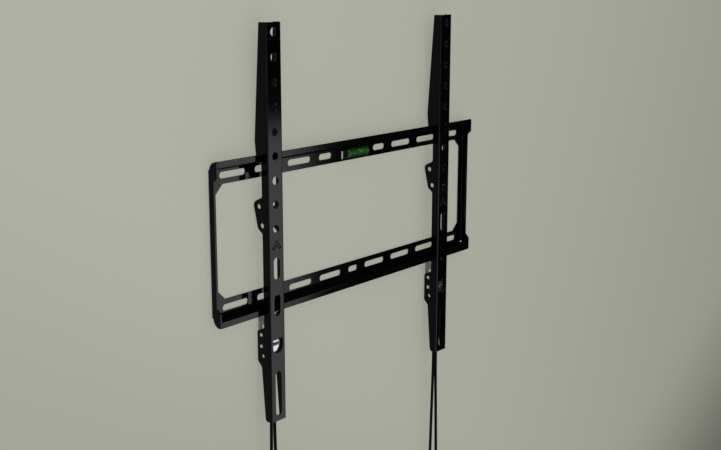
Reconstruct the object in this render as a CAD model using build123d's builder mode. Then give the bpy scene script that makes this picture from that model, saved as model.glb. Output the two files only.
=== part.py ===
from build123d import *
import os

# Fixed wall bracket for a flat screen: a folded wall plate and two arms that hook over its rails.
# X runs along the wall to the right, Z is up, and the wall is the plane Y = 0.
# A depth is measured from the wall towards the room, which is -Y. All sizes are in millimetres.

# Wall plate
plate_width = 446.4
plate_gauge = 1.5
plate_bend = 0.7  # inside radius of every fold
shelf_height = 78.2  # outer face of each shelf, from the plate's middle
lip_depth = 13.3  # front face of each lip
lip_height = 6.6  # rise of each lip past its shelf
corner_relief = 0.4  # saw gap left at the folded corners
corner_notch = 5.0  # depth of the notch where the shelves meet the back sheet
rail_width = 18.7  # back sheet between the window and a shelf's outer face
post_width = 9.0  # back sheet between the window and an end
window_chamfer = 9.8
end_flange_depth = 8.5
end_ear_drop = 8.5  # below the shelf, an end flange is as deep as the lip down to here
end_ear_slope = 4.7  # height over which it narrows to its own depth
end_corner_radius = 9.0
end_corner_spare = 0.3
end_tip_radius = 1.0

# Screw slots of the wall plate
slot_row_inset = 9.9  # row of slots below the shelf's outer face
slot_width = 7.0
slot_length = 36.8
slot_pitch = 50.0
slot_first = 40.0
lower_slots_a_side = 4
upper_slots_a_side = 3
centre_slot_length = 16.6
inner_slot_offset = 47.5
inner_slot_length = 21.6

# Level
level_hole_length = 40.0
level_hole_height = 9.2
level_hole_drop = 12.1  # middle of the hole below the shelf's outer face
level_fit = 0.1  # clearance of the holder in its hole and of the vial in its cradle
finger_gap = 4.0  # open end of the level hole
holder_wall = 1.2
holder_cheek = 1.4
holder_round = 0.8
vial_radius = 4.2
vial_wall = 0.8
vial_lip_gap = 0.1  # front of the vial behind the front of the lip
vial_drop = 9.7  # axis of the vial below the shelf's outer face
vial_swell = 0.25  # rise of the barrel-shaped bore at its middle
vial_plug_length = 3.0
vial_fit = 0.03
bubble_radius = 1.5
bubble_length = 8.0

# Arms
arm_spacing = 300.0
arm_width = 22.6
arm_gauge = 1.5
arm_bend = 0.4  # inside radius of the folds beside the face
arm_stand_off = 9.4  # face of the arm in front of the lip
arm_top = 217.3
arm_bottom = -202.6
arm_top_depth = 9.7  # width of the flange at the top
arm_lip_gap = 0.4  # back edge of the flange in front of the lip
arm_corner = 3.8  # rounding of the flange's lower back corner
arm_top_corner = 1.0
hook_rise = 13.8  # widest place of the hook above the lip's edge
hook_back = 4.9  # depth of that place
hook_round = 3.0  # rounding there
hook_tip_back = 6.8
hook_gap = 0.4  # hook behind the lip
hook_seat = 0.1  # hook above the lip's edge
hook_tip_gap = 1.4  # tip above the shelf
hook_tip_round = 0.8

# Screen bolt holes of the arms
bolt_hole = 8.8
bolt_pitch = 25.0
bolt_count = 9
bolt_first = 9.6  # below the arm's top
bolt_slot_width = 9.0
upper_slot_centre = -34.8
upper_slot_length = 23.6
middle_slot_centre = -74.4
middle_slot_length = 23.4
lower_slot_rise = 30.9  # middle of the lower slot above the arm's bottom
lower_slot_length = 49.6

# Middle ear of each arm flange
middle_ear_top = 40.9
middle_ear_crest = 34.6
middle_ear_crest_back = 1.2
middle_ear_foot = 7.4
middle_ear_foot_back = 7.3
middle_ear_bottom = 2.6
middle_ear_round = 5.5
middle_ear_fair = 3.0
middle_ear_hole = 5.4
middle_ear_upper_hole_depth = 8.9
middle_ear_upper_hole_height = 30.7
middle_ear_lower_hole_depth = 13.0
middle_ear_lower_hole_height = 11.1

# Lower ear of each arm flange, which carries the latch
lower_ear_drop = 13.5  # top of the ear below the lip's edge
lower_ear_slope = 4.7
lower_ear_back = 3.75
lower_ear_length = 37.7
lower_ear_cut = 6.3
lower_ear_cut_back = 9.3
lower_ear_round = 2.0
lower_ear_top_round = 3.5
spare_hole = 4.2
spare_hole_depth = 11.2
spare_hole_drop = 31.8  # below the ear's top

# Latch pins
pin_diameter = 4.0
pin_fit = 0.05
pin_depth = 10.2
pin_drop = 8.1  # upper pin below the ear's top
pin_pitch = 12.4
pin_head = 4.9
pin_head_height = 1.0
pin_head_round = 0.6

# Latch slider
latch_gauge = 1.2
latch_bend = 0.4
latch_side_gap = 0.3  # slider beside the arm's flange
latch_face_gap = 1.6  # slider behind the arm's face
latch_back = 3.5
latch_travel = 8.0
latch_lip_gap = 0.6  # slider on each side of the lip
latch_notch_gap = 1.2  # notch below the lip's edge
latch_tip_rise = 1.8  # front edge above the lip's edge
latch_shelf_gap = 1.2  # prong below the shelf
latch_prong_top = 2.4  # flat top of the prong
latch_lead = 5.5  # fall of the prong's lead-in slope
latch_side_end = 5.7  # side walls below the lower pin
latch_corner = 0.8
latch_end_round = 3.0
latch_slot_fit = 0.15  # slot round each pin
latch_slot_spare = 0.5
window_bar_drop = 16.9  # top of the cross slot below the ear's top
cross_slot_length = 12.0
cross_slot_height = 3.7
window_bar = 1.9  # bar of sheet above the cross slot
tail_drop = 12.4  # underside of the tail's tab below the lower pin
tail_edge = 1.3  # sheet left beside each cord hole
tail_end = 2.1  # sheet left behind each cord hole

# Spring and its seat
spring_outside = 7.0
spring_wire = 0.8
spring_turns = 5
wire_sides = 8
seat_half_width = 4.2
seat_slit = 0.4
seat_back = 6.6
seat_rise = 12.4  # underside of the seat above the upper pin
seat_root = 3.6  # sheet above the seat that its bend runs into
seat_boss_radius = 2.2
seat_boss_height = 1.0

# D-shaped window in the arm's face
d_window_width = 15.0
d_window_drop = 13.0  # flat top below the ear's top
d_window_side = 8.2
d_nub_radius = 2.2

# Pull cord
cord_diameter = 3.6
cord_fit = 0.3  # cord in the tail's holes
cord_set_back = 6.8  # cord behind the slider's front
knot_diameter = 6.4
knot_height = 4.0
knot_top_bevel = 1.4
knot_bottom_bevel = 0.5
knot_gap = 0.1  # each knot from the middle between them
arc_share = 0.45  # part of a run that each bend may use

# Sizes that follow from those above
plate_half = plate_width / 2
lip_edge = shelf_height + lip_height
lip_back = lip_depth - plate_gauge
window_width = plate_width - 2 * post_width
window_height = 2 * (shelf_height - rail_width)
end_ear_full = shelf_height - end_ear_drop
end_ear_start = end_ear_full - end_ear_slope
end_fold_height = lip_edge - end_corner_radius - end_corner_spare
end_back_gap = lip_depth - end_corner_radius - end_tip_radius - end_corner_spare
slot_row_height = shelf_height - slot_row_inset
level_hole_centre = shelf_height - level_hole_drop
vial_height = shelf_height - vial_drop
vial_depth = lip_depth - vial_lip_gap - vial_radius
holder_top = vial_height + vial_radius + level_fit + holder_wall
holder_bottom = vial_height - vial_radius - level_fit - holder_wall
arm_depth = lip_depth + arm_stand_off
arm_back = lip_depth + arm_lip_gap
arm_half = arm_width / 2
arm_inner_half = arm_half - arm_gauge
ear_top = -(lip_edge + lower_ear_drop)
upper_pin = ear_top - pin_drop
lower_pin = upper_pin - pin_pitch
web_front = arm_depth - arm_gauge - latch_face_gap
web_middle = web_front - latch_gauge / 2
cord_depth = web_front - cord_set_back
cord_strand = knot_diameter / 2 + knot_gap
cord_hole = cord_diameter + 2 * cord_fit
tail_half_width = cord_strand + cord_hole / 2 + tail_edge
tail_back = cord_depth - cord_hole / 2 - tail_end
latch_half = arm_inner_half - latch_side_gap
latch_bottom = lower_pin - latch_side_end
latch_top = -(shelf_height + latch_shelf_gap)
tail_under = lower_pin - tail_drop
tail_top = tail_under + latch_gauge
seat_under = upper_pin + seat_rise + pin_diameter / 2
cross_slot_middle = ear_top - window_bar_drop - cross_slot_height / 2
seat_window = seat_under - (ear_top - window_bar_drop + window_bar)

# The side plane counts depth along its x and height along its y; the front plane looks at the wall.
side_plane = Plane((0, 0, 0), x_dir=(0, -1, 0), z_dir=(-1, 0, 0))
front_plane = Plane.XZ

os.makedirs("parts", exist_ok=True)

# Wall plate: one sheet folded into a shelf and a lip along the top and the bottom
with BuildPart() as wall_plate:
    with BuildSketch(side_plane):
        with BuildLine():
            FilletPolyline(
                (lip_depth - plate_gauge / 2, lip_edge),
                (lip_depth - plate_gauge / 2, shelf_height - plate_gauge / 2),
                (plate_gauge / 2, shelf_height - plate_gauge / 2),
                (plate_gauge / 2, plate_gauge / 2 - shelf_height),
                (lip_depth - plate_gauge / 2, plate_gauge / 2 - shelf_height),
                (lip_depth - plate_gauge / 2, -lip_edge),
                radius=plate_bend + plate_gauge / 2,
            )
        trace(line_width=plate_gauge)
    extrude(amount=plate_half - plate_gauge - plate_bend - corner_relief, both=True)
    # Lips and shelves on to the end flanges, in front of the notch at each corner
    with BuildSketch(side_plane):
        for upward in (1, -1):
            with BuildLine():
                FilletPolyline(
                    (lip_depth - plate_gauge / 2, upward * lip_edge),
                    (lip_depth - plate_gauge / 2, upward * (shelf_height - plate_gauge / 2)),
                    (corner_notch, upward * (shelf_height - plate_gauge / 2)),
                    radius=plate_bend + plate_gauge / 2,
                )
            trace(line_width=plate_gauge)
    extrude(amount=plate_half - plate_gauge - corner_relief, both=True)
    # Back sheet out to both end flanges
    with BuildSketch(front_plane):
        Rectangle(plate_width, 2 * end_fold_height)
    extrude(amount=plate_gauge)
    # End flanges, deeper beside the rails and rounded behind them
    with BuildSketch(side_plane.offset(plate_half), side_plane.offset(plate_gauge - plate_half)):
        with BuildLine():
            FilletPolyline(
                (0, -end_fold_height),
                (0, end_fold_height),
                (end_back_gap, end_fold_height),
                (end_back_gap, lip_edge),
                (lip_depth, lip_edge),
                (lip_depth, end_ear_full),
                (end_flange_depth, end_ear_start),
                (end_flange_depth, -end_ear_start),
                (lip_depth, -end_ear_full),
                (lip_depth, -lip_edge),
                (end_back_gap, -lip_edge),
                (end_back_gap, -end_fold_height),
                radius=(
                    (0, 0, 0, end_corner_radius, end_tip_radius, 0)
                    + (0, 0, 0, end_tip_radius, end_corner_radius, 0)
                ),
                close=True,
            )
        make_face()
    extrude(amount=-plate_gauge)
    upright_edges = wall_plate.edges().filter_by(Axis.Z).filter_by(lambda edge: edge.length > window_height)
    outer_folds = upright_edges.filter_by(lambda edge: abs(abs(edge.center().X) - plate_half) < plate_bend)
    fillet(outer_folds.group_by(Axis.Y)[-1], radius=plate_bend + plate_gauge)
    inner_half = plate_half - plate_gauge
    inner_folds = upright_edges.filter_by(lambda edge: abs(abs(edge.center().X) - inner_half) < plate_bend)
    fillet(inner_folds.filter_by_position(Axis.Y, -plate_gauge, 0), radius=plate_bend)
    # Window, screw slots and level hole
    with BuildSketch(front_plane):
        opening = Rectangle(window_width, window_height)
        chamfer(opening.vertices(), length=window_chamfer)
        for step in range(lower_slots_a_side):
            slot_x = slot_first + step * slot_pitch
            with Locations((-slot_x, -slot_row_height), (slot_x, -slot_row_height)):
                SlotOverall(slot_length, slot_width)
        for step in range(1, upper_slots_a_side + 1):
            slot_x = slot_first + step * slot_pitch
            with Locations((-slot_x, slot_row_height), (slot_x, slot_row_height)):
                SlotOverall(slot_length, slot_width)
        with Locations((-inner_slot_offset, slot_row_height), (inner_slot_offset, slot_row_height)):
            SlotOverall(inner_slot_length, slot_width)
        with Locations((0, -slot_row_height)):
            SlotOverall(centre_slot_length, slot_width)
        with Locations((0, level_hole_centre)):
            Rectangle(level_hole_length, level_hole_height)
    extrude(amount=2 * plate_gauge, both=True, mode=Mode.SUBTRACT)
wall_plate.part.label = "wall_plate"
export_step(wall_plate.part, "parts/wall_plate.step")

# Level holder: a cradle with a cheek at each end, on a plug that fills the level hole up to the finger gap
holder_left = finger_gap - level_hole_length / 2
holder_right = level_hole_length / 2 - level_fit
holder_length = holder_right - holder_left
cradle_length = holder_length - 2 * holder_cheek
holder_plane = side_plane.offset(-(holder_left + holder_right) / 2)
with BuildPart() as level_holder:
    with BuildSketch(holder_plane):
        with Locations((plate_gauge, holder_bottom)):
            Rectangle(vial_depth - plate_gauge, holder_top - holder_bottom, align=(Align.MIN, Align.MIN))
    extrude(amount=holder_length / 2, both=True)
    fillet(level_holder.faces().sort_by(Axis.Y)[0].edges(), radius=holder_round)
    with BuildSketch(holder_plane):
        with Locations((level_fit, level_hole_centre)):
            plug_height = level_hole_height - 2 * level_fit
            Rectangle(plate_gauge - level_fit, plug_height, align=(Align.MIN, Align.CENTER))
    extrude(amount=holder_length / 2, both=True)
    with BuildSketch(holder_plane):
        with Locations((vial_depth, vial_height)):
            Circle(vial_radius + level_fit)
    extrude(amount=cradle_length / 2, both=True, mode=Mode.SUBTRACT)
level_holder.part.label = "level_holder"
export_step(level_holder.part, "parts/level_holder.step")

# Level vial: a tube with a domed right end and a barrel-shaped bore, open at its left end
vial_left = holder_left + holder_cheek + level_fit
vial_right = holder_right - holder_cheek - level_fit
dome_start = vial_right - vial_radius
bore_radius = vial_radius - vial_wall - vial_swell
bore_left = vial_left + vial_plug_length
bore_middle = (bore_left + dome_start) / 2
vial_plane = Plane((0, -vial_depth, vial_height), x_dir=(1, 0, 0), z_dir=(0, -1, 0))
vial_axis = Axis((0, -vial_depth, vial_height), (1, 0, 0))
with BuildPart() as level_vial:
    with BuildSketch(vial_plane):
        with BuildLine():
            Polyline((vial_left, bore_radius), (vial_left, vial_radius), (dome_start, vial_radius))
            RadiusArc((dome_start, vial_radius), (vial_right, 0), vial_radius)
            Line((vial_right, 0), (dome_start + bore_radius, 0))
            RadiusArc((dome_start + bore_radius, 0), (dome_start, bore_radius), -bore_radius)
            ThreePointArc(
                (dome_start, bore_radius), (bore_middle, bore_radius + vial_swell), (bore_left, bore_radius)
            )
            Line((bore_left, bore_radius), (vial_left, bore_radius))
        make_face()
    revolve(axis=vial_axis)
level_vial.part.label = "level_vial"
export_step(level_vial.part, "parts/level_vial.step")

# Level plug: a disc that closes the bore
with BuildPart() as level_plug:
    with BuildSketch(Plane((vial_left, -vial_depth, vial_height), x_dir=(0, 1, 0), z_dir=(1, 0, 0))):
        Circle(bore_radius - vial_fit)
    extrude(amount=vial_plug_length)
level_plug.part.label = "level_plug"
export_step(level_plug.part, "parts/level_plug.step")

# Level fluid: fills the bore, with the bubble's hollow at its top
fluid_radius = bore_radius - vial_fit
with BuildPart() as level_fluid:
    with BuildSketch(vial_plane):
        with BuildLine():
            Polyline(
                (dome_start + fluid_radius, 0),
                (bore_left + vial_fit, 0),
                (bore_left + vial_fit, fluid_radius),
            )
            ThreePointArc(
                (bore_left + vial_fit, fluid_radius),
                (bore_middle, fluid_radius + vial_swell),
                (dome_start, fluid_radius),
            )
            RadiusArc((dome_start, fluid_radius), (dome_start + fluid_radius, 0), fluid_radius)
        make_face()
    revolve(axis=vial_axis)
    bubble_height = vial_height + fluid_radius + vial_swell - bubble_radius / 2
    bubble_plane = Plane((bore_middle, -vial_depth, bubble_height), x_dir=(1, 0, 0), z_dir=(0, -1, 0))
    bubble_end = bubble_length / 2
    with BuildSketch(bubble_plane):
        with BuildLine():
            Line((bubble_end, 0), (-bubble_end, 0))
            RadiusArc((-bubble_end, 0), (bubble_radius - bubble_end, bubble_radius), bubble_radius)
            Line((bubble_radius - bubble_end, bubble_radius), (bubble_end - bubble_radius, bubble_radius))
            RadiusArc((bubble_end - bubble_radius, bubble_radius), (bubble_end, 0), bubble_radius)
        make_face()
    revolve(axis=Axis((bore_middle, -vial_depth, bubble_height), (1, 0, 0)), mode=Mode.SUBTRACT)
level_fluid.part.label = "level_fluid"
export_step(level_fluid.part, "parts/level_fluid.step")

# Route of a pull cord, as distance from the arm's middle and height: down, round and up again
route = [
    (-cord_strand, tail_top),
    (-cord_strand, -152),
    (-2.9, -182),
    (-2.3, -207),
    (-2.9, -238),
    (-4.9, -290),
    (-6.5, -341),
    (-7.6, -369),
    (-8.3, -383.6),
    (-8.7, -391.4),
    (-8.7, -398.6),
    (-3.6, -403.7),
    (3.6, -403.7),
    (8.7, -398.6),
    (8.7, -391.4),
    (8.25, -383.8),
    (7.45, -369.5),
    (6.15, -342),
    (4.5, -292),
    (2.85, -241),
    (2.25, -209),
    (2.8, -184),
    (cord_strand, -155),
    (cord_strand, tail_top),
]
# Each bend is as large as its shorter run allows: the run's share divided by the tangent of half the turn
runs = [Vector(after) - Vector(before) for before, after in zip(route, route[1:])]
bends = [
    arc_share * min(a.length, b.length) * (a.length * b.length + a.dot(b)) / a.cross(b).length
    for a, b in zip(runs, runs[1:])
]
print("cord bend radii", [round(bend, 1) for bend in bends])

for side, arm_x in (("left", -arm_spacing / 2), ("right", arm_spacing / 2)):
    arm_side = Plane((arm_x, 0, 0), x_dir=(0, -1, 0), z_dir=(-1, 0, 0))
    arm_front = Plane((arm_x, 0, 0), x_dir=(1, 0, 0), z_dir=(0, -1, 0))

    # Arm: a U channel whose flanges are cut to the hook, the middle ear and the lower ear
    with BuildPart() as arm:
        with BuildSketch(Plane((arm_x, 0, arm_bottom))):
            with BuildLine():
                FilletPolyline(
                    (arm_gauge / 2 - arm_half, 0),
                    (arm_gauge / 2 - arm_half, arm_gauge / 2 - arm_depth),
                    (arm_half - arm_gauge / 2, arm_gauge / 2 - arm_depth),
                    (arm_half - arm_gauge / 2, 0),
                    radius=arm_bend + arm_gauge / 2,
                )
            trace(line_width=arm_gauge)
        extrude(amount=arm_top - arm_bottom)
        with BuildSketch(arm_side):
            with BuildLine():
                FilletPolyline(
                    (arm_depth, arm_top),
                    (arm_depth - arm_top_depth, arm_top),
                    (hook_back, lip_edge + hook_rise),
                    (hook_tip_back, shelf_height + hook_tip_gap),
                    (lip_back - hook_gap, shelf_height + hook_tip_gap),
                    (lip_back - hook_gap, lip_edge + hook_seat),
                    (arm_back, lip_edge + hook_seat),
                    (arm_back, middle_ear_top),
                    (middle_ear_crest_back, middle_ear_crest),
                    (middle_ear_foot_back, middle_ear_foot),
                    (arm_back, middle_ear_bottom),
                    (arm_back, ear_top),
                    (lower_ear_back, ear_top - lower_ear_slope),
                    (lower_ear_back, ear_top - lower_ear_length),
                    (lower_ear_cut_back, ear_top - lower_ear_length - lower_ear_cut),
                    (arm_back, arm_bottom),
                    (arm_depth, arm_bottom),
                    radius=(
                        0,
                        arm_top_corner,
                        hook_round,
                        hook_tip_round,
                        hook_tip_round,
                        0,
                        0,
                        middle_ear_fair,
                        middle_ear_round,
                        middle_ear_round,
                        middle_ear_fair,
                        lower_ear_round,
                        lower_ear_top_round,
                        lower_ear_round,
                        lower_ear_round,
                        arm_corner,
                        0,
                    ),
                    close=True,
                )
            make_face()
        extrude(amount=arm_width, both=True, mode=Mode.INTERSECT)
        # Bolt holes, bolt slots and the D window in the face
        with BuildSketch(arm_front.offset(arm_depth)):
            for step in range(bolt_count):
                with Locations((0, arm_top - bolt_first - step * bolt_pitch)):
                    Circle(bolt_hole / 2)
            with Locations((0, upper_slot_centre)):
                SlotOverall(upper_slot_length, bolt_slot_width, rotation=90)
            with Locations((0, middle_slot_centre)):
                SlotOverall(middle_slot_length, bolt_slot_width, rotation=90)
            with Locations((0, arm_bottom + lower_slot_rise)):
                SlotOverall(lower_slot_length, bolt_slot_width, rotation=90)
            with Locations((0, ear_top - d_window_drop)):
                Rectangle(d_window_width, d_window_side, align=(Align.CENTER, Align.MAX))
                Circle(d_nub_radius)
            with Locations((0, ear_top - d_window_drop - d_window_side)):
                Circle(d_window_width / 2)
        extrude(amount=2 * arm_gauge, both=True, mode=Mode.SUBTRACT)
        # Holes through both ears
        with BuildSketch(arm_side):
            with Locations((middle_ear_upper_hole_depth, middle_ear_upper_hole_height)):
                Circle(middle_ear_hole / 2)
            with Locations((middle_ear_lower_hole_depth, middle_ear_lower_hole_height)):
                Circle(middle_ear_hole / 2)
            with Locations((pin_depth, upper_pin), (pin_depth, lower_pin)):
                Circle(pin_diameter / 2 + pin_fit)
            with Locations((spare_hole_depth, ear_top - spare_hole_drop)):
                Circle(spare_hole / 2)
        extrude(amount=arm_width, both=True, mode=Mode.SUBTRACT)
    arm.part.label = f"{side}_arm"
    export_step(arm.part, f"parts/{side}_arm.step")

    # Pins: riveted across the lower ear, with a rounded head outside each flange
    for place, pin_height in (("upper", upper_pin), ("lower", lower_pin)):
        with BuildPart() as pin:
            with BuildSketch(arm_side):
                with Locations((pin_depth, pin_height)):
                    Circle(pin_diameter / 2)
            extrude(amount=arm_half, both=True)
            for outward in (-1, 1):
                with BuildSketch(arm_side.offset(outward * arm_half)):
                    with Locations((pin_depth, pin_height)):
                        Circle(pin_head / 2)
                extrude(amount=outward * pin_head_height)
            head_rims = pin.edges().filter_by(GeomType.CIRCLE).group_by(Axis.X)
            fillet(head_rims[0] + head_rims[-1], radius=pin_head_round)
        pin.part.label = f"{side}_{place}_pin"
        export_step(pin.part, f"parts/{side}_{place}_pin.step")

    # Latch slider: a U inside the channel with a prong behind the lower lip, a spring seat and a cord tail
    with BuildPart() as slider:
        with BuildSketch(Plane((arm_x, 0, latch_bottom))):
            with BuildLine():
                FilletPolyline(
                    (latch_gauge / 2 - latch_half, 0),
                    (latch_gauge / 2 - latch_half, -web_middle),
                    (latch_half - latch_gauge / 2, -web_middle),
                    (latch_half - latch_gauge / 2, 0),
                    radius=latch_bend + latch_gauge / 2,
                )
            trace(line_width=latch_gauge)
        extrude(amount=latch_top - latch_bottom)
        prong_front = lip_back - latch_lip_gap
        prong_slope = prong_front - latch_prong_top
        with BuildSketch(arm_side):
            with BuildLine():
                FilletPolyline(
                    (web_front, latch_tip_rise - lip_edge),
                    (lip_depth + latch_lip_gap, latch_tip_rise - lip_edge),
                    (lip_depth + latch_lip_gap, -lip_edge - latch_notch_gap),
                    (prong_front, -lip_edge - latch_notch_gap),
                    (prong_front, latch_top),
                    (prong_slope, latch_top),
                    (latch_back, latch_top - latch_lead),
                    (latch_back, latch_bottom),
                    (web_front, latch_bottom),
                    radius=(
                        (0, latch_corner, 0, 0)
                        + (latch_corner, latch_corner, latch_corner, latch_end_round, 0)
                    ),
                    close=True,
                )
            make_face()
        extrude(amount=arm_width, both=True, mode=Mode.INTERSECT)
        # Opening that the spring seat is bent out of, and the cross slot seen through the D window
        with BuildSketch(arm_front.offset(web_front)):
            with Locations((0, seat_under)):
                Rectangle(2 * (seat_half_width + seat_slit), seat_window, align=(Align.CENTER, Align.MAX))
            with Locations((0, cross_slot_middle)):
                SlotOverall(cross_slot_length, cross_slot_height)
        extrude(amount=2 * latch_gauge, both=True, mode=Mode.SUBTRACT)
        # Spring seat
        with BuildSketch(arm_side):
            with BuildLine():
                FilletPolyline(
                    (web_middle, seat_under + seat_root),
                    (web_middle, seat_under + latch_gauge / 2),
                    (seat_back, seat_under + latch_gauge / 2),
                    radius=latch_bend + latch_gauge / 2,
                )
            trace(line_width=latch_gauge)
        extrude(amount=seat_half_width, both=True)
        with BuildSketch(Plane((arm_x, -pin_depth, seat_under))):
            Circle(seat_boss_radius)
        extrude(amount=-seat_boss_height)
        # Tail with the tab that the cord hangs from
        with BuildSketch(arm_side):
            with BuildLine():
                FilletPolyline(
                    (web_middle, latch_bottom + latch_gauge),
                    (web_middle, tail_under + latch_gauge / 2),
                    (tail_back, tail_under + latch_gauge / 2),
                    radius=latch_bend + latch_gauge / 2,
                )
            trace(line_width=latch_gauge)
        extrude(amount=tail_half_width, both=True)
        with BuildSketch(Plane((arm_x, -cord_depth, tail_under))):
            with Locations((-cord_strand, 0), (cord_strand, 0)):
                Circle(cord_hole / 2)
        extrude(amount=2 * latch_gauge, both=True, mode=Mode.SUBTRACT)
        # One long slot in each side wall takes both pins
        slot_top = upper_pin + latch_travel + latch_slot_spare
        with BuildSketch(arm_side):
            with Locations((pin_depth, (slot_top + lower_pin) / 2)):
                SlotCenterToCenter(slot_top - lower_pin, pin_diameter + 2 * latch_slot_fit, rotation=90)
        extrude(amount=arm_width, both=True, mode=Mode.SUBTRACT)
    slider.part.label = f"{side}_latch_slider"
    export_step(slider.part, f"parts/{side}_latch_slider.step")

    # Latch spring: stands on the upper pin and pushes the seat up
    spring_height = seat_rise - spring_wire - 2 * pin_fit
    spring_foot = Vector(arm_x, -pin_depth, upper_pin + pin_diameter / 2 + spring_wire / 2 + pin_fit)
    with BuildPart() as spring:
        with BuildLine() as coil:
            Helix(
                pitch=spring_height / spring_turns,
                height=spring_height,
                radius=(spring_outside - spring_wire) / 2,
                center=spring_foot,
            )
        with BuildSketch(Plane(origin=coil.line @ 0, z_dir=coil.line % 0)):
            RegularPolygon(spring_wire / 2, wire_sides)
        sweep(path=coil.line, is_frenet=True)
    spring.part.label = f"{side}_latch_spring"
    export_step(spring.part, f"parts/{side}_latch_spring.step")

    # Knots: one at each end of the cord, resting on the tail's tab
    with BuildPart() as knots:
        with BuildSketch(Plane((arm_x, -cord_depth, tail_top))):
            with Locations((-cord_strand, 0), (cord_strand, 0)):
                Circle(knot_diameter / 2)
        extrude(amount=knot_height)
        rims = knots.edges().filter_by(GeomType.CIRCLE).group_by(Axis.Z)
        chamfer(rims[-1], length=knot_top_bevel)
        chamfer(rims[0], length=knot_bottom_bevel)
    knots.part.label = f"{side}_cord_knots"
    export_step(knots.part, f"parts/{side}_cord_knots.step")

    # Pull cord: hangs from the tab through the channel and turns back in a loop below the arm
    with BuildPart() as cord:
        with BuildLine(arm_front.offset(cord_depth)) as cord_path:
            FilletPolyline(*route, radius=bends)
        with BuildSketch(Plane(origin=cord_path.line @ 0, z_dir=cord_path.line % 0)) as cord_section:
            Circle(cord_diameter / 2)
        sweep(path=cord_path.line)
    cord_length = cord_path.wire().length
    cord_volume = cord_section.sketch.area * cord_length
    print(side, "cord length", round(cord_length, 1))
    print(side, "cord volume to section times length", round(cord.part.volume / cord_volume, 4))
    cord.part.label = f"{side}_pull_cord"
    export_step(cord.part, f"parts/{side}_pull_cord.step")
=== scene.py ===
import math

import bmesh
import bpy
from mathutils import Matrix, Vector


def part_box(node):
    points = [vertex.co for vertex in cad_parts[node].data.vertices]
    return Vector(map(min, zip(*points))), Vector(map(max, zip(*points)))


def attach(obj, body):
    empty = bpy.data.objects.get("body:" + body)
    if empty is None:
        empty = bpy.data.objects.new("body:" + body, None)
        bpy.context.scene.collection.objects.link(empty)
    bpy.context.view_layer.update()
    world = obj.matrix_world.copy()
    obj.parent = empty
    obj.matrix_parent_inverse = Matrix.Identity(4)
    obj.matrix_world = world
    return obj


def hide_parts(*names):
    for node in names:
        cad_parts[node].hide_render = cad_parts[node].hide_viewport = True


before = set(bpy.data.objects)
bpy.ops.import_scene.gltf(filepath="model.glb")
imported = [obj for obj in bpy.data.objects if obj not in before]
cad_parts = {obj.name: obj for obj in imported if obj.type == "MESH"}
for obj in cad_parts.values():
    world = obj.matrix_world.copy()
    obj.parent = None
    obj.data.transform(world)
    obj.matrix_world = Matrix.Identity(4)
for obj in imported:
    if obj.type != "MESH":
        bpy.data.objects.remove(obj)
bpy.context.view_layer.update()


# Wall plate: one sheet of 1.5 mm steel, pierced, then folded into a shelf and a lip at top and
# bottom. It is coated in gloss black powder, which levels out with a very faint orange peel.
# The same coat is on the two arms, so it is made here once.
class Wire:
    def __init__(self, tree, socket):
        self.tree = tree
        self.socket = socket

    def node(self, kind, settings, sockets, output=0):
        made = self.tree.nodes.new(kind)
        for name, value in settings.items():
            setattr(made, name, value)
        for name, value in sockets.items():
            feed(made, name, value)
        return Wire(self.tree, made.outputs[output])

    def math(self, operation, *values):
        return self.node("ShaderNodeMath", {"operation": operation}, dict(enumerate(values)))

    def __add__(self, other):
        return self.math("ADD", self, other)

    def __radd__(self, other):
        return self.math("ADD", other, self)

    def __sub__(self, other):
        return self.math("SUBTRACT", self, other)

    def __rsub__(self, other):
        return self.math("SUBTRACT", other, self)

    def __mul__(self, other):
        return self.math("MULTIPLY", self, other)

    def __rmul__(self, other):
        return self.math("MULTIPLY", other, self)

    def __truediv__(self, other):
        return self.math("DIVIDE", self, other)

    def __rtruediv__(self, other):
        return self.math("DIVIDE", other, self)

    def __abs__(self):
        return self.math("ABSOLUTE", self)


def feed(taker, name, value):
    if isinstance(value, Wire):
        value.tree.links.new(value.socket, taker.inputs[name])
    else:
        taker.inputs[name].default_value = value


def new_finish(name, coordinates="Object"):
    finish = bpy.data.materials.new(name)
    finish.use_nodes = True
    tree = finish.node_tree
    place = Wire(tree, tree.nodes.new("ShaderNodeTexCoord").outputs[coordinates])
    return finish, tree.nodes["Principled BSDF"], place


def noise(place, scale, detail=2.0, stretch=(1.0, 1.0, 1.0)):
    stretched = place.node("ShaderNodeMapping", {}, {"Vector": place, "Scale": stretch})
    sockets = {"Vector": stretched, "Scale": scale, "Detail": detail}
    return place.node("ShaderNodeTexNoise", {}, sockets)


def ramp(value, start, end):
    return value.node("ShaderNodeMapRange", {"interpolation_type": "SMOOTHSTEP"},
                      {"Value": value, "From Min": start, "From Max": end})


def blend_colour(factor, first, second):
    sockets = {0: factor, 6: first, 7: second}
    return factor.node("ShaderNodeMix", {"data_type": "RGBA"}, sockets, 2)


def bump(height, strength, distance):
    sockets = {"Height": height, "Strength": strength, "Distance": distance}
    return height.node("ShaderNodeBump", {}, sockets)


def put_finish(node_name, finish):
    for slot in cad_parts[node_name].material_slots:
        slot.material = finish


coat_black = (0.0007, 0.0007, 0.0007, 1.0)
coat_bloom = (0.0018, 0.0018, 0.0018, 1.0)

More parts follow.
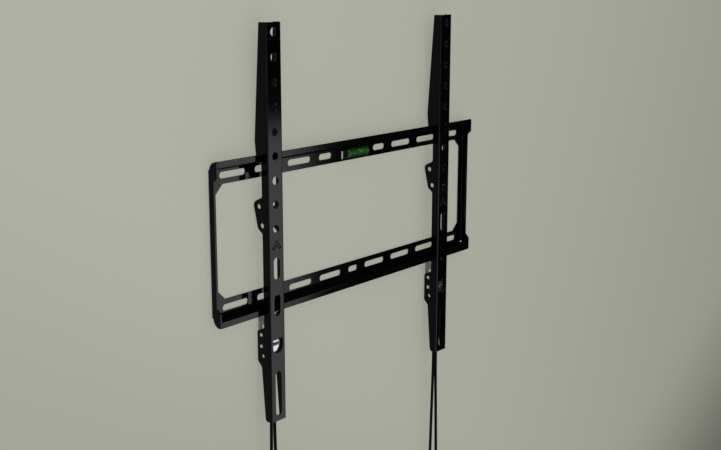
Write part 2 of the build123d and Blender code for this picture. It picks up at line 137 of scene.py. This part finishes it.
coat, coat_shader, coat_place = new_finish("powder_coat")
coat_cloud = noise(coat_place, scale=22.0, detail=4.0)
coat_peel = noise(coat_place, scale=620.0, detail=1.0)
coat_dust = noise(coat_place, scale=2600.0, detail=1.0)
feed(coat_shader, "Base Color", blend_colour(ramp(coat_cloud, 0.35, 0.7), coat_black, coat_bloom))
feed(coat_shader, "Roughness", 0.05 + 0.03 * coat_cloud + 0.02 * coat_dust)
feed(coat_shader, "Normal", bump(coat_peel, strength=0.05, distance=0.00008))
feed(coat_shader, "Specular IOR Level", 0.42)
put_finish("wall_plate", coat)


# Level holder: a black nylon cradle, moulded with a fine spark texture and clipped into the
# plate's hole. Its hollow takes the back half of the vial, with a cheek at each end.
nylon_dark = (0.0020, 0.0020, 0.0020, 1.0)
nylon_pale = (0.0050, 0.0050, 0.0048, 1.0)

nylon, nylon_shader, nylon_place = new_finish("moulded_nylon")
nylon_spark = noise(nylon_place, scale=2400.0)
nylon_flow = noise(nylon_place, scale=60.0, detail=3.0, stretch=(0.4, 1.0, 1.0))
feed(nylon_shader, "Base Color", blend_colour(nylon_flow, nylon_dark, nylon_pale))
feed(nylon_shader, "Roughness", 0.38 + 0.2 * nylon_spark)
feed(nylon_shader, "Normal", bump(nylon_spark, strength=0.25, distance=0.0001))
put_finish("level_holder", nylon)


# Level vial: a moulded barrel of green tinted acrylic, filled with green fluid around one long
# bubble and plugged. Pale bands along it are painted reflections, and a pale V at the bubble and
# the lighter, greyer open end are painted highlights. Two black rings are printed round it, and a
# half-round tab at its open end lets a finger lift it out.
vial_low, vial_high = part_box("level_vial")
fluid_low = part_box("level_fluid")[0]
vial_radius = (vial_high[2] - vial_low[2]) / 2
vial_across = (fluid_low[0] + vial_high[0] - vial_radius) / 2
vial_middle = Vector((vial_across, vial_high[1] - vial_radius, vial_low[2] + vial_radius))
acrylic_deep = (0.002, 0.120, 0.002, 1.0)
acrylic_painted_reflection = (0.042, 0.105, 0.042, 1.0)
acrylic_end_highlight = (0.060, 0.125, 0.055, 1.0)
end_edge, end_core = -0.0160, -0.0178
bubble_gleam = (0.240, 0.420, 0.030, 1.0)

# Each gleam's lowest and highest edge, as heights from the vial's axis, and how soft the edges are.
band_low, band_high, band_soft = -0.0012, 0.0028, 0.0008
line_low, line_high, line_soft = -0.0032, -0.0014, 0.0006
vee_low, vee_high, vee_soft = 0.0010, 0.0042, 0.0004
vee_foot = 0.0012
vee_spread = 1.5
stroke_edge, stroke_core = 0.0010, 0.0003
gleam_waver = 0.0008


def along(place, axis):
    return place.node("ShaderNodeSeparateXYZ", {}, {"Vector": place}, axis)


def stripe(value, low, high, soft):
    return ramp(value, low, low + soft) * ramp(value, high, high - soft)


acrylic, acrylic_shader, acrylic_place = new_finish("green_acrylic")
acrylic_across = along(acrylic_place, "X")
acrylic_marks = noise(acrylic_place, scale=420.0, stretch=(0.25, 1.0, 1.0))
acrylic_level = along(acrylic_place, "Z") - vial_middle.z + gleam_waver * acrylic_marks
# Painted reflections: a pale band above the vial's axis and a pale line below it.
acrylic_reflection_band = stripe(acrylic_level, band_low, band_high, band_soft)
acrylic_highlight_line = stripe(acrylic_level, line_low, line_high, line_soft)
acrylic_tint_and_reflections = blend_colour(acrylic_reflection_band + acrylic_highlight_line, acrylic_deep, acrylic_painted_reflection)
acrylic_reach = abs(acrylic_across - vial_across)
# Painted highlight: a pale yellow-green V at the bubble's ends.
acrylic_stroke = ramp(abs(acrylic_reach - vee_spread * (acrylic_level - vee_foot)),
                      stroke_edge, stroke_core)
acrylic_vee_highlight = acrylic_stroke * stripe(acrylic_level, vee_low, vee_high, vee_soft)
acrylic_lit = blend_colour(acrylic_vee_highlight, acrylic_tint_and_reflections, bubble_gleam)
# Painted highlight: the vial's open end and its tab are lighter and greyer.
acrylic_open_end_highlight = ramp(acrylic_across, end_edge, end_core)
feed(acrylic_shader, "Base Color", blend_colour(acrylic_open_end_highlight, acrylic_lit, acrylic_end_highlight))
feed(acrylic_shader, "Roughness", 0.02 + 0.05 * acrylic_marks)
feed(acrylic_shader, "Transmission Weight", 0.4)
feed(acrylic_shader, "IOR", 1.49)
put_finish("level_vial", acrylic)

fluid_deep = (0.002, 0.060, 0.003, 1.0)
fluid_lit_top = (0.004, 0.120, 0.004, 1.0)
fluid_foot, fluid_top = 0.0655, 0.0725
fluid_waver = 0.001
bubble_half = 0.0040
bubble_foot, bubble_top = 0.0675, 0.0690
bubble_edge, bubble_core = 0.0012, 0.0003

fluid, fluid_shader, fluid_place = new_finish("level_fluid_green")
fluid_height = along(fluid_place, "Z")
fluid_cloud = noise(fluid_place, scale=300.0, detail=1.0)
# Painted light: the fluid is lighter towards its top.
fluid_painted_light_rise = ramp(fluid_height + fluid_waver * fluid_cloud, fluid_foot, fluid_top)
fluid_lit_body = blend_colour(fluid_painted_light_rise, fluid_deep, fluid_lit_top)
# Painted highlight: a pale ring round each end of the bubble, near the fluid's top.
fluid_rim = abs(abs(along(fluid_place, "X") - vial_across) - bubble_half)
fluid_gleam = (ramp(fluid_rim, bubble_edge, bubble_core)
               * ramp(fluid_height, bubble_foot, bubble_top))
feed(fluid_shader, "Base Color", blend_colour(fluid_gleam, fluid_lit_body, bubble_gleam))
feed(fluid_shader, "Roughness", 0.05 + 0.05 * fluid_cloud)
feed(fluid_shader, "Transmission Weight", 0.15)
feed(fluid_shader, "IOR", 1.35)
put_finish("level_fluid", fluid)
put_finish("level_plug", fluid)


def new_object(name, data):
    made = bpy.data.objects.new(name, data)
    bpy.context.scene.collection.objects.link(made)
    return made


def new_piece(name, shape, finish, body):
    data = bpy.data.meshes.new(name)
    bmesh.ops.recalc_face_normals(shape, faces=shape.faces)
    shape.to_mesh(data)
    shape.free()
    data.materials.append(finish)
    made = new_object(name, data)
    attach(made, body)


ink_dark = (0.0015, 0.0015, 0.0015, 1.0)
ink_worn = (0.0050, 0.0050, 0.0048, 1.0)

ink, ink_shader, ink_place = new_finish("printed_ink")
ink_grain = noise(ink_place, scale=3000.0)
feed(ink_shader, "Base Color", blend_colour(ink_grain, ink_dark, ink_worn))
feed(ink_shader, "Roughness", 0.5 + 0.2 * ink_grain)
feed(ink_shader, "Specular IOR Level", 0.2)

ring_half_spacing = 0.0056
ring_width = 0.0004
ring_rise = 0.00004
ring_thickness = 0.00003
ring_sides = 64
upright_to_across = Matrix.Rotation(math.pi / 2, 3, "Y")

rings = bmesh.new()
for across in (-ring_half_spacing, ring_half_spacing):
    hoop = bmesh.ops.create_circle(rings, segments=ring_sides, radius=vial_radius + ring_rise)
    hoop_edges = list({edge for corner in hoop["verts"] for edge in corner.link_edges})
    drawn = bmesh.ops.extrude_edge_only(rings, edges=hoop_edges)["geom"]
    drawn_corners = [part for part in drawn if isinstance(part, bmesh.types.BMVert)]
    bmesh.ops.translate(rings, vec=(0.0, 0.0, ring_width), verts=drawn_corners)
    around = hoop["verts"] + drawn_corners
    ring_start = vial_middle + Vector((across - ring_width / 2, 0.0, 0.0))
    bmesh.ops.rotate(rings, matrix=upright_to_across, verts=around)
    bmesh.ops.translate(rings, vec=ring_start, verts=around)
bmesh.ops.recalc_face_normals(rings, faces=rings.faces)
bmesh.ops.solidify(rings, geom=rings.faces[:], thickness=ring_thickness)
new_piece("level_rings", rings, ink, "plate")

tab_length = 0.0050
tab_gap = 0.00005
tab_round = 0.0008
tab_sides = 48
tab_middle = Vector((vial_low[0] - tab_length / 2, vial_middle.y, vial_middle.z))

tab = bmesh.new()
bmesh.ops.create_cone(tab, cap_ends=True, segments=tab_sides, radius1=vial_radius,
                      radius2=vial_radius, depth=tab_length)
bmesh.ops.rotate(tab, matrix=upright_to_across, verts=tab.verts)
bmesh.ops.translate(tab, vec=tab_middle, verts=tab.verts)
cut = bmesh.ops.bisect_plane(tab, geom=tab.verts[:] + tab.edges[:] + tab.faces[:], clear_outer=True,
                             plane_co=tab_middle - Vector((0.0, tab_gap, 0.0)),
                             plane_no=(0.0, 1.0, 0.0))["geom_cut"]
cut_edges = [part for part in cut if isinstance(part, bmesh.types.BMEdge)]
bmesh.ops.contextual_create(tab, geom=cut_edges)
tab_rim = [edge for edge in tab.edges if all(corner.co.x < tab_middle.x for corner in edge.verts)]
bmesh.ops.bevel(tab, geom=tab_rim, offset=tab_round, segments=3, profile=0.5, affect="EDGES",
                material=-1)
new_piece("level_tab", tab, acrylic, "plate")


# Arms: two folded steel channels with the screen's bolt holes, in the same gloss black coat as the
# plate, hooked over its top lip. Below the bolt holes each face has a plain arrowhead, outlined in
# thin dark ink, which shows the way up. Its corners are in millimetres across and up.
arm_places = {"left": -0.15, "right": 0.15}
mark_outline = ((0.0, -4.2), (7.6, -13.3), (4.1, -15.2), (0.0, -11.0), (-4.1, -15.2), (-7.6, -13.3))
mark_line = 0.0016
mark_thickness = 0.00003

for side, arm_x in arm_places.items():
    put_finish(side + "_arm", coat)
    arm_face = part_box(side + "_arm")[0][1]
    mark = bmesh.new()
    arrowhead = mark.faces.new([mark.verts.new((arm_x + across / 1000, arm_face, height / 1000))
                                for across, height in mark_outline])
    arrowhead.normal_update()
    bmesh.ops.inset_region(mark, faces=[arrowhead], thickness=mark_line, use_boundary=True,
                           use_even_offset=True)
    bmesh.ops.delete(mark, geom=[arrowhead], context="FACES_ONLY")
    raised = bmesh.ops.extrude_face_region(mark, geom=mark.faces[:])["geom"]
    raised_corners = [part for part in raised if isinstance(part, bmesh.types.BMVert)]
    bmesh.ops.translate(mark, vec=(0.0, -mark_thickness, 0.0), verts=raised_corners)
    new_piece(side + "_up_mark", mark, ink, side + "_arm_body")


# Latch sliders: folded sheet with a bright zinc plating, each in its arm's channel on two pins.
# The web is drawn and painted brighter and more mirror-like, a painted highlight, and the folded
# flanks are a little cloudy.
zinc_deep = (0.52, 0.55, 0.535, 1.0)
zinc_light = (0.72, 0.75, 0.74, 1.0)
zinc_web_highlight = (0.84, 0.87, 0.90, 1.0)
web_metal = 0.99
web_edge, web_core = 0.0020, 0.0010
slider_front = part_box("left_latch_slider")[0][1]

zinc, zinc_shader, zinc_place = new_finish("zinc_plating")
zinc_spangle = noise(zinc_place, scale=180.0, detail=3.0)
zinc_drawn = noise(zinc_place, scale=900.0, stretch=(1.0, 1.0, 0.06))
# Painted highlight: the front web is brighter and more metallic than the rest of the plating.
zinc_web_highlight_mask = ramp(along(zinc_place, "Y") - slider_front, web_edge, web_core)
zinc_body = blend_colour(ramp(zinc_spangle, 0.3, 0.7), zinc_deep, zinc_light)
zinc_metal = 0.95 - 0.20 * zinc_spangle
feed(zinc_shader, "Base Color", blend_colour(zinc_web_highlight_mask, zinc_body, zinc_web_highlight))
feed(zinc_shader, "Metallic", zinc_metal + zinc_web_highlight_mask * (web_metal - zinc_metal))
feed(zinc_shader, "Roughness", 0.10 + 0.08 * zinc_spangle)
feed(zinc_shader, "Normal", bump(zinc_drawn, strength=0.06, distance=0.0001))
for side in arm_places:
    put_finish(side + "_latch_slider", zinc)


# Pins: turned steel rivets, two across each arm, whose heads are upset outside the flanges.
# The crown of a head and the shank are painted bright, a painted highlight, and the rim stays dark.
pin_deep = (0.04, 0.04, 0.04, 1.0)
pin_highlight = (0.72, 0.74, 0.72, 1.0)
pin_crown_radius = 0.0016
pin_rim_radius = 0.0026
pin_rim_waver = 0.0006
pin_shank_half = 0.0095
pin_shank_highlight_level = 0.7

for level in ("upper", "lower"):
    pin_low, pin_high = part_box("left_" + level + "_pin")
    pin_axis = (0.0, (pin_low[1] + pin_high[1]) / 2, (pin_low[2] + pin_high[2]) / 2)
    pin_steel, pin_shader, pin_place = new_finish(level + "_rivet_steel")
    pin_flat = pin_place.node("ShaderNodeMapping", {},
                              {"Vector": pin_place, "Scale": (0.0, 1.0, 1.0)})
    pin_reach = pin_flat.node("ShaderNodeVectorMath", {"operation": "DISTANCE"},
                              {0: pin_flat, 1: pin_axis}, "Value")
    pin_cloud = ramp(noise(pin_place, scale=700.0), 0.35, 0.65)
    # Painted highlight: the crown of each head and the shank are painted bright.
    pin_crown_highlight = ramp(pin_reach + pin_rim_waver * pin_cloud, pin_rim_radius, pin_crown_radius)
    pin_side = abs(along(pin_place, "X"))
    pin_shank_highlight = pin_side.math("COMPARE", pin_side, arm_places["right"], pin_shank_half)
    pin_painted_highlight = pin_crown_highlight.math("MAXIMUM", pin_crown_highlight, pin_shank_highlight_level * pin_shank_highlight)
    feed(pin_shader, "Base Color", blend_colour(pin_painted_highlight, pin_deep, pin_highlight))
    feed(pin_shader, "Metallic", 0.7 - 0.3 * pin_crown_highlight + 0.2 * pin_shank_highlight)
    feed(pin_shader, "Roughness", 0.22 + 0.2 * pin_cloud)
    feed(pin_shader, "Normal", bump(pin_cloud, strength=0.25, distance=0.0002))
    for side in arm_places:
        put_finish(side + "_" + level + "_pin", pin_steel)


# Latch springs: drawn steel wire coiled in five turns, with the dark oil blue of its tempering.
# Each stands on its arm's upper pin and pushes the slider's seat up.
spring_deep = (0.22, 0.22, 0.23, 1.0)
spring_light = (0.42, 0.42, 0.43, 1.0)

spring_steel, spring_shader, spring_place = new_finish("spring_wire")
spring_cloud = noise(spring_place, scale=700.0)
feed(spring_shader, "Base Color", blend_colour(spring_cloud, spring_deep, spring_light))
feed(spring_shader, "Metallic", 1.0)
feed(spring_shader, "Roughness", 0.25 + 0.2 * spring_cloud)
for side in arm_places:
    put_finish(side + "_latch_spring", spring_steel)


# Cord knots: the ends of each pull cord, drawn into two hard overhand knots above the slider's
# tail. They are of the cord's black polyester braid, each one strand on a trefoil path.
knot_across = 0.0033
knot_depth = 0.0128
knot_foot = -0.1300
knot_height = 0.0040
knot_radius = 0.0032
knot_points = 24
strand_radius = 0.0013
strand_swing = (knot_radius - strand_radius) / 3.0
strand_rise = knot_height / 2 - strand_radius

cord_dark = (0.0012, 0.0012, 0.0012, 1.0)
cord_pale = (0.0050, 0.0050, 0.0048, 1.0)

tight_braid, tight_shader, tight_place = new_finish("knot_braid")
tight_plait_and_shade = noise(tight_place, scale=1900.0, detail=1.0)
# Painted shade: the knot's braid is darker where its plait sinks.
feed(tight_shader, "Base Color", blend_colour(tight_plait_and_shade, cord_dark, cord_pale))
feed(tight_shader, "Roughness", 0.8 - 0.2 * tight_plait_and_shade)
feed(tight_shader, "Normal", bump(tight_plait_and_shade, strength=0.5, distance=0.0002))
feed(tight_shader, "Specular IOR Level", 0.05)

knots = {}
for side, arm_x in arm_places.items():
    tie = bpy.data.curves.new(side + "_tie", "CURVE")
    tie.dimensions = "3D"
    tie.resolution_u = 4
    tie.bevel_depth = strand_radius
    tie.bevel_resolution = 3
    for across in (-knot_across, knot_across):
        turn = tie.splines.new("NURBS")
        turn.points.add(knot_points - 1)
        for step, point in enumerate(turn.points):
            angle = step * math.tau / knot_points
            swing_x = strand_swing * (math.sin(angle) + 2.0 * math.sin(2.0 * angle))
            swing_y = strand_swing * (math.cos(angle) - 2.0 * math.cos(2.0 * angle))
            rise = knot_height / 2 - strand_rise * math.sin(3.0 * angle)
            point.co = (arm_x + across + swing_x, swing_y - knot_depth, knot_foot + rise, 1.0)
        turn.order_u = 4
        turn.use_cyclic_u = True
    shaping = new_object(side + "_tie", tie)
    shaped = shaping.evaluated_get(bpy.context.evaluated_depsgraph_get())
    knot_mesh = bpy.data.meshes.new_from_object(shaped)
    bpy.data.objects.remove(shaping)
    knot_mesh.materials.clear()
    knot_mesh.materials.append(tight_braid)
    knots[side] = new_object(side + "_knots", knot_mesh)
    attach(knots[side], side + "_latch")
    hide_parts(side + "_cord_knots")


# Pull cords: one black braided polyester cord to a latch, both ends up through the slider's tail.
# It hangs in a long narrow loop under its own weight. The route is in millimetres across and up.
cord_route = (
    (-3.3, -130.0), (-3.3, -152.0), (-2.6, -182.0), (-1.8, -207.0), (-2.4, -238.0), (-4.4, -290.0),
    (-6.1, -341.0), (-7.4, -369.0), (-8.3, -383.6), (-8.7, -391.4), (-8.7, -398.6), (-3.6, -403.7),
    (3.6, -403.7), (8.7, -398.6), (8.7, -391.4), (8.3, -383.8), (7.9, -369.5), (7.05, -342.0),
    (5.45, -292.0), (3.7, -241.0), (3.05, -209.0), (3.2, -184.0), (3.3, -155.0), (3.3, -130.0),
)
cord_depth = knot_depth
cord_diameter = 0.0036
braid_plaits = (430.0, 4.0, 1.0)

braid, braid_shader, braid_place = new_finish("cord_braid", "UV")
braid_turn = braid_place.node("ShaderNodeMapping", {},
                              {"Vector": braid_place, "Scale": braid_plaits})
braid_along = along(braid_turn, "X")
braid_round = along(braid_turn, "Y")
braid_one = braid_turn.math("SINE", math.tau * (braid_along + braid_round))
braid_two = braid_turn.math("SINE", math.tau * (braid_along - braid_round))
braid_relief_and_shade = 0.5 + 0.5 * (braid_one * braid_two)
# Painted shade: the braid is darker where its plaits sink.
feed(braid_shader, "Base Color", blend_colour(braid_relief_and_shade, cord_dark, cord_pale))
feed(braid_shader, "Roughness", 0.75 - 0.2 * braid_relief_and_shade)
feed(braid_shader, "Normal", bump(braid_relief_and_shade, strength=0.5, distance=0.0002))
feed(braid_shader, "Specular IOR Level", 0.05)

for side, arm_x in arm_places.items():
    line = bpy.data.curves.new(side + "_cord", "CURVE")
    line.dimensions = "3D"
    line.resolution_u = 8
    line.bevel_depth = cord_diameter / 2
    line.bevel_resolution = 4
    line.use_fill_caps = True
    spline = line.splines.new("NURBS")
    spline.points.add(len(cord_route) - 1)
    for point, (across, height) in zip(spline.points, cord_route):
        point.co = (arm_x + across / 1000, -cord_depth, height / 1000, 1.0)
    spline.order_u = 3
    spline.use_endpoint_u = True
    line.materials.append(braid)
    cord = new_object(side + "_cord", line)
    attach(cord, side + "_latch")
    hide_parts(side + "_pull_cord")


# Stage: the painted wall behind the plate, which can't be seen from its back, and a pale floor
# well below, which can't be seen from underneath. The coat mirrors only a wedge of the floor, in
# front of the bracket's left half, as in the photographed room.
def new_sheet(name, half_width, half_length, turn, middle):
    shape = bmesh.new()
    bmesh.ops.create_grid(shape, x_segments=1, y_segments=1, size=1.0)
    bmesh.ops.scale(shape, vec=(half_width, half_length, 1.0), verts=shape.verts)
    bmesh.ops.rotate(shape, matrix=Matrix.Rotation(turn, 3, "X"), verts=shape.verts)
    bmesh.ops.translate(shape, vec=middle, verts=shape.verts)
    data = bpy.data.meshes.new(name)
    shape.to_mesh(data)
    shape.free()
    return new_object(name, data)


def dim_colour(colour, level):
    return colour.node("ShaderNodeVectorMath", {"operation": "SCALE"}, {0: colour, "Scale": level})


def ray_is(place, kind):
    return place.node("ShaderNodeLightPath", {}, {}, kind)


def seen_from_back(place):
    return place.node("ShaderNodeNewGeometry", {}, {}, "Backfacing")


wall_lit_left = (0.412, 0.431, 0.360, 1.0)
wall_shaded_right = (0.292, 0.300, 0.249, 1.0)
wall_middle = (1.0, 0.0008, 0.8)
fade_lean, fade_start, fade_end = 0.35, -0.524, 1.588
low_shade, low_lean, low_start, low_end = 0.14, 0.70, -0.15, -0.50
corner_shade, corner_lean, corner_start, corner_end = 0.60, 0.50, 0.85, 1.45

# Most of the paint's tone is a painted glow that only the camera sees, and the rest takes light
# and the bracket's soft shadow.
paint_lit_share = 0.25
paint_glow_share = 0.73

wall = new_sheet("wall", half_width=6.0, half_length=3.0, turn=math.pi / 2, middle=wall_middle)

paint, paint_shader, paint_place = new_finish("wall_paint")
paint_across = along(paint_place, "X")
paint_height = along(paint_place, "Z")
# Painted light and shade: the paint is lighter at the left and falls off to the right, with painted
# shade low down and a painted shadow in the lower right corner.
paint_light_falloff = ramp(paint_across - fade_lean * paint_height, fade_start, fade_end)
paint_low_shade = ramp(paint_height + low_lean * paint_across, low_start, low_end)
paint_corner_shadow = ramp(corner_lean * paint_across - paint_height, corner_start, corner_end)
paint_shade = 1.0 - low_shade * paint_low_shade - corner_shade * paint_corner_shadow
paint_colour = dim_colour(blend_colour(paint_light_falloff, wall_lit_left, wall_shaded_right), paint_shade)
feed(paint_shader, "Base Color", dim_colour(paint_colour, paint_lit_share))
# Painted glow: the paint's colour is given off as light that only the camera sees.
feed(paint_shader, "Emission Color", dim_colour(paint_colour, ray_is(paint_place, "Is Camera Ray")))
feed(paint_shader, "Emission Strength", paint_glow_share)
feed(paint_shader, "Roughness", 0.9)
feed(paint_shader, "Specular IOR Level", 0.1)
paint_tree = paint.node_tree
paint_front = Wire(paint_tree, paint_shader.outputs[0])
paint_clear = paint_place.node("ShaderNodeBsdfTransparent", {}, {})
paint_sides = {0: seen_from_back(paint_place), 1: paint_front, 2: paint_clear}
feed(paint_tree.nodes["Material Output"], "Surface",
     paint_place.node("ShaderNodeMixShader", {}, paint_sides))
wall.data.materials.append(paint)
wall.visible_glossy = False

floor_pale = (0.86, 0.86, 0.86, 1.0)
floor_pale_low = (0.82, 0.82, 0.82, 1.0)
floor_middle = (0.0, 0.0, -0.90)
floor_own_share = 0.45
wedge_start = -0.13
wedge_right_edge, wedge_right_core = 1.19, 1.05
wedge_left_lean, wedge_left_edge, wedge_left_core = 0.5, -0.92, -0.88
wedge_far_edge, wedge_far_core = -6.25, -4.65
wedge_near = 0.001

floor = new_sheet("floor", half_width=9.0, half_length=9.0, turn=0.0, middle=floor_middle)

boards, boards_shader, boards_place = new_finish("floor_pale")
boards_across = along(boards_place, "X")
boards_depth = along(boards_place, "Y")
boards_turn = (boards_across - wedge_start) / (wedge_near - boards_depth)
boards_right = ramp(boards_turn, wedge_right_edge, wedge_right_core)
boards_left = ramp(boards_across + wedge_left_lean * boards_depth, wedge_left_edge, wedge_left_core)
boards_far = ramp(boards_depth, wedge_far_edge, wedge_far_core)
boards_near = ramp(boards_depth, wedge_near, -wedge_near)
boards_wedge = boards_left * boards_right * boards_far * boards_near
boards_mirrored = 1.0 - ray_is(boards_place, "Is Glossy Ray") * (1.0 - boards_wedge)
boards_tone = blend_colour(noise(boards_place, scale=1.5), floor_pale, floor_pale_low)
feed(boards_shader, "Base Color", boards_tone)
feed(boards_shader, "Emission Color", boards_tone)
feed(boards_shader, "Emission Strength", floor_own_share)
feed(boards_shader, "Roughness", 0.9)
feed(boards_shader, "Specular IOR Level", 0.0)
feed(boards_shader, "Alpha", boards_mirrored * (1.0 - seen_from_back(boards_place)))
floor.data.materials.append(boards)
floor.visible_diffuse = False


# Light: one soft dome, brighter in front and from the left. The coat mirrors a room with dark sides
# and a pale strip from front to back, every other ray meets the dome, and the camera sees white.
# The camera stands at the photograph's place.
dome_level = 0.80
front_level = 0.60
side_level = 0.60
room_level = 0.008
left_level, left_core = 0.11, -0.6
strip_level, strip_edge, strip_core = 0.27, 0.50, 0.06

world = bpy.data.worlds.new("studio")
bpy.context.scene.world = world
world.use_nodes = True
sky_tree = world.node_tree
sky = sky_tree.nodes["Background"]
sky_place = Wire(sky_tree, sky_tree.nodes.new("ShaderNodeTexCoord").outputs["Generated"])
sky_across = along(sky_place, "X")
sky_depth = along(sky_place, "Y")
sky_dome = dome_level + front_level * ramp(sky_depth, 0.0, -1.0) - side_level * sky_across
sky_left = left_level * ramp(sky_across, 0.0, left_core)
sky_strip = strip_level * ramp(sky_across * sky_across, strip_edge, strip_core)
sky_room = room_level + sky_left + sky_strip
sky_lit = sky_dome + ray_is(sky_place, "Is Glossy Ray") * (sky_room - sky_dome)
feed(sky, "Strength", sky_lit + ray_is(sky_place, "Is Camera Ray") * (1.0 - sky_lit))
feed(sky, "Color", (1.0, 1.0, 1.0, 1.0))

camera_place = (-0.97219, -0.80052, 0.25941)
camera_lens = 56.04
camera_right, camera_down, camera_roll = 50.980, 12.386, 0.069

camera_data = bpy.data.cameras.new("photo_camera")
camera_data.sensor_width = 36.0
camera_data.lens = camera_lens
camera = new_object("photo_camera", camera_data)
camera.location = camera_place
camera_heading = Matrix.Rotation(-math.radians(camera_right), 3, "Z")
camera_tilt = Matrix.Rotation(math.radians(90.0 - camera_down), 3, "X")
camera_lean = Matrix.Rotation(math.radians(camera_roll), 3, "Z")
camera.rotation_euler = (camera_heading @ camera_tilt @ camera_lean).to_euler()
bpy.context.scene.camera = camera
bpy.context.scene.view_settings.view_transform = "Standard"
